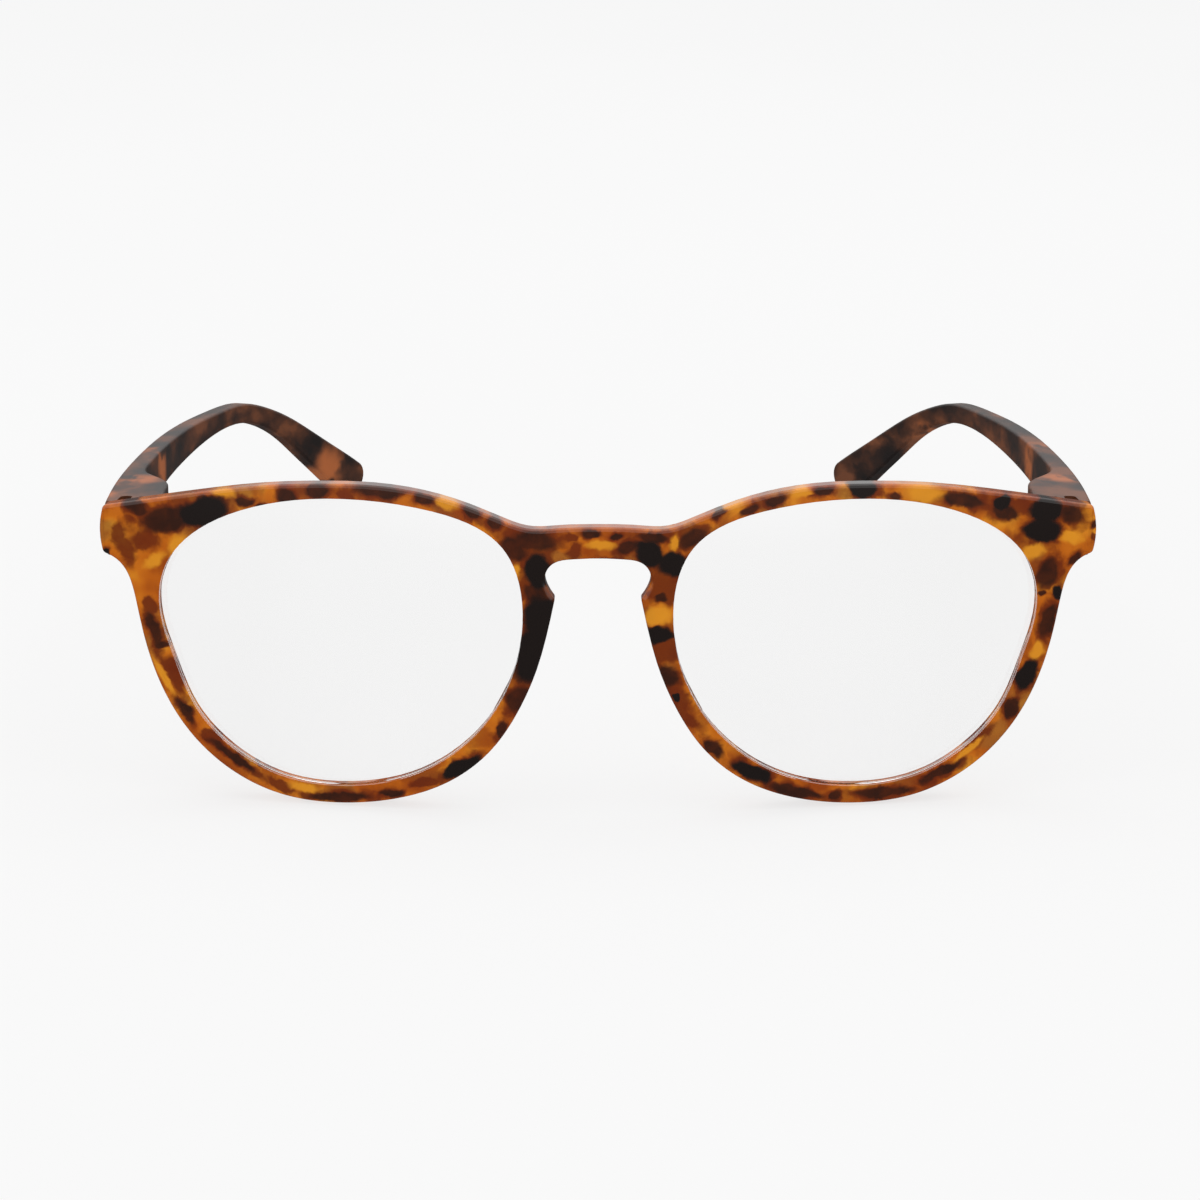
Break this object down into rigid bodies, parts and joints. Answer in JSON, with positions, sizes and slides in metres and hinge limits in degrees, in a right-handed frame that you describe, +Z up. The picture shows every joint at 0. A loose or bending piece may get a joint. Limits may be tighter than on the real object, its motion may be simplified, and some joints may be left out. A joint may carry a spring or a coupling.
{
  "type": "folding reading glasses",
  "caption": "Folding reading glasses with a round moulded front, keyhole bridge, clear lenses and temples on sprung hinges.",
  "frame": {"origin": "bottom centre of the whole object's box, on the surface that the rims and temple tips stand on", "axes": "+X to the wearer's left, +Y from the front back along the temples, +Z up"},
  "size_m": [0.1452, 0.1494, 0.0458],
  "materials": {
    "front_plastic": "polished tortoiseshell moulding, honey amber with dark brown and black patches",
    "temple_plastic": "satin tortoiseshell moulding, darker than the front",
    "lens_plastic": "clear, polished",
    "hinge_metal": "satin nickel silver",
    "slider_metal": "plain stainless steel",
    "screw_steel": "bright turned steel",
    "spring_wire": "drawn spring wire",
    "stop_brass": "turned brass"
  },
  "bodies": {
    "front": {"front_frame": "front_plastic", "lens_left": "lens_plastic", "front_leaf_left": "hinge_metal", "hinge_screw_left": "screw_steel", "lens_right": "lens_plastic", "front_leaf_right": "hinge_metal", "hinge_screw_right": "screw_steel"},
    "slider_left": {"slider_eye_left": "slider_metal", "guide_pin_left": "screw_steel"},
    "arm_left": {"temple_left": "temple_plastic", "spring_box_left": "hinge_metal", "spring_stop_left": "stop_brass", "flex_spring_left": "spring_wire"},
    "slider_right": {"slider_eye_right": "slider_metal", "guide_pin_right": "screw_steel"},
    "arm_right": {"temple_right": "temple_plastic", "spring_box_right": "hinge_metal", "spring_stop_right": "stop_brass", "flex_spring_right": "spring_wire"}
  },
  "joints": [
    {"name": "fold_left", "type": "hinge", "parent": "front", "child": "slider_left", "pos_m": [0.0637, -0.05767, 0.03662], "axis": [-0.1045, 0.128, 0.9863], "range_deg": [0, 84]},
    {"name": "flex_left", "type": "slide", "parent": "slider_left", "child": "arm_left", "axis": [0.0867, 0.9891, -0.1191], "range_m": [0, 0.0015], "stiffness_N_per_m": 400, "springref_m": -0.005, "deforming": ["flex_spring_left"]},
    {"name": "fold_right", "type": "hinge", "parent": "front", "child": "slider_right", "pos_m": [-0.0637, -0.05767, 0.03662], "axis": [-0.1045, -0.128, -0.9863], "range_deg": [0, 72]},
    {"name": "flex_right", "type": "slide", "parent": "slider_right", "child": "arm_right", "axis": [-0.0867, 0.9891, -0.1191], "range_m": [0, 0.0015], "stiffness_N_per_m": 400, "springref_m": -0.005, "deforming": ["flex_spring_right"]}
  ]
}
